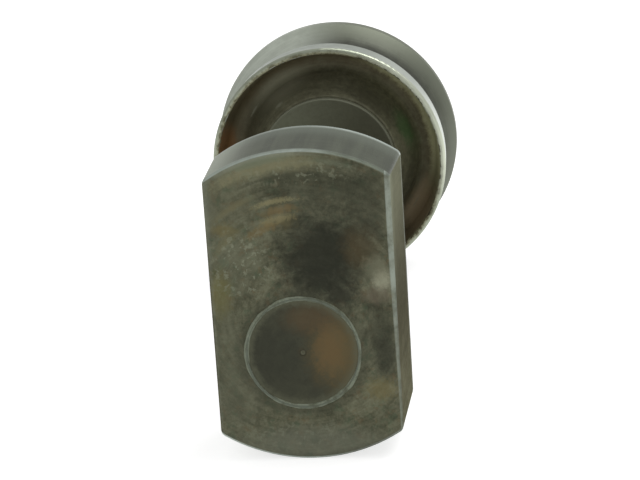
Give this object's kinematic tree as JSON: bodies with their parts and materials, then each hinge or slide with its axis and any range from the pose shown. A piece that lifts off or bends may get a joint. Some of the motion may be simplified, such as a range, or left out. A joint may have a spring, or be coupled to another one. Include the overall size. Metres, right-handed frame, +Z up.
{
  "type": "cam follower",
  "caption": "Stud-type cam follower: a dished, flanged roller on needle bearings at one end of an off-centre stud, a staked steel head with wrench flats at the other.",
  "frame": {"origin": "middle of the stud's ground shank, on the shank's axis", "axes": "+Y along the shank towards the roller, +Z up along the head's long side, +X to the right seen from the head"},
  "size_m": [0.0276, 0.0716, 0.0287],
  "materials": {
    "head_steel": "dark oxidised steel, ground grey on its rim",
    "stud_steel": "browned ground steel",
    "roller_steel": "dark oxidised steel, worn bright on its lip and flange",
    "bearing_steel": "bright hardened steel, lightly oiled",
    "cage_steel": "plain pressed steel",
    "seal_rubber": "black oil-resistant rubber",
    "washer_steel": "dark oxidised steel",
    "ring_steel": "blackened spring steel",
    "nipple_steel": "dull zinc-coated steel"
  },
  "bodies": {
    "stud_body": {"stud": "stud_steel", "head": "head_steel", "inner_sleeve": "bearing_steel", "front_thrust_washer": "bearing_steel", "rear_thrust_washer": "bearing_steel", "end_washer": "washer_steel", "retaining_ring": "ring_steel", "grease_nipple": "nipple_steel"},
    "roller_body": {"roller": "roller_steel", "front_seal": "seal_rubber", "rear_seal": "seal_rubber"},
    "cage_body": {"needle_cage": "cage_steel", "needle_01": "bearing_steel", "needle_02": "bearing_steel", "needle_03": "bearing_steel", "needle_04": "bearing_steel", "needle_05": "bearing_steel", "needle_06": "bearing_steel", "needle_07": "bearing_steel", "needle_08": "bearing_steel", "needle_09": "bearing_steel", "needle_10": "bearing_steel", "needle_11": "bearing_steel", "needle_12": "bearing_steel"}
  },
  "joints": [
    {"name": "roller_spin", "type": "hinge", "parent": "stud_body", "child": "roller_body", "pos_m": [-0.00242, 0.02925, 0.00438], "axis": [0, 1, 0], "continuous": true},
    {"name": "cage_orbit", "type": "hinge", "parent": "stud_body", "child": "cage_body", "pos_m": [-0.00242, 0.02925, 0.00438], "axis": [0, 1, 0], "continuous": true}
  ],
  "couplings": [
    {"joint": "cage_orbit", "follows": "roller_spin", "ratio": 0.58366}
  ]
}
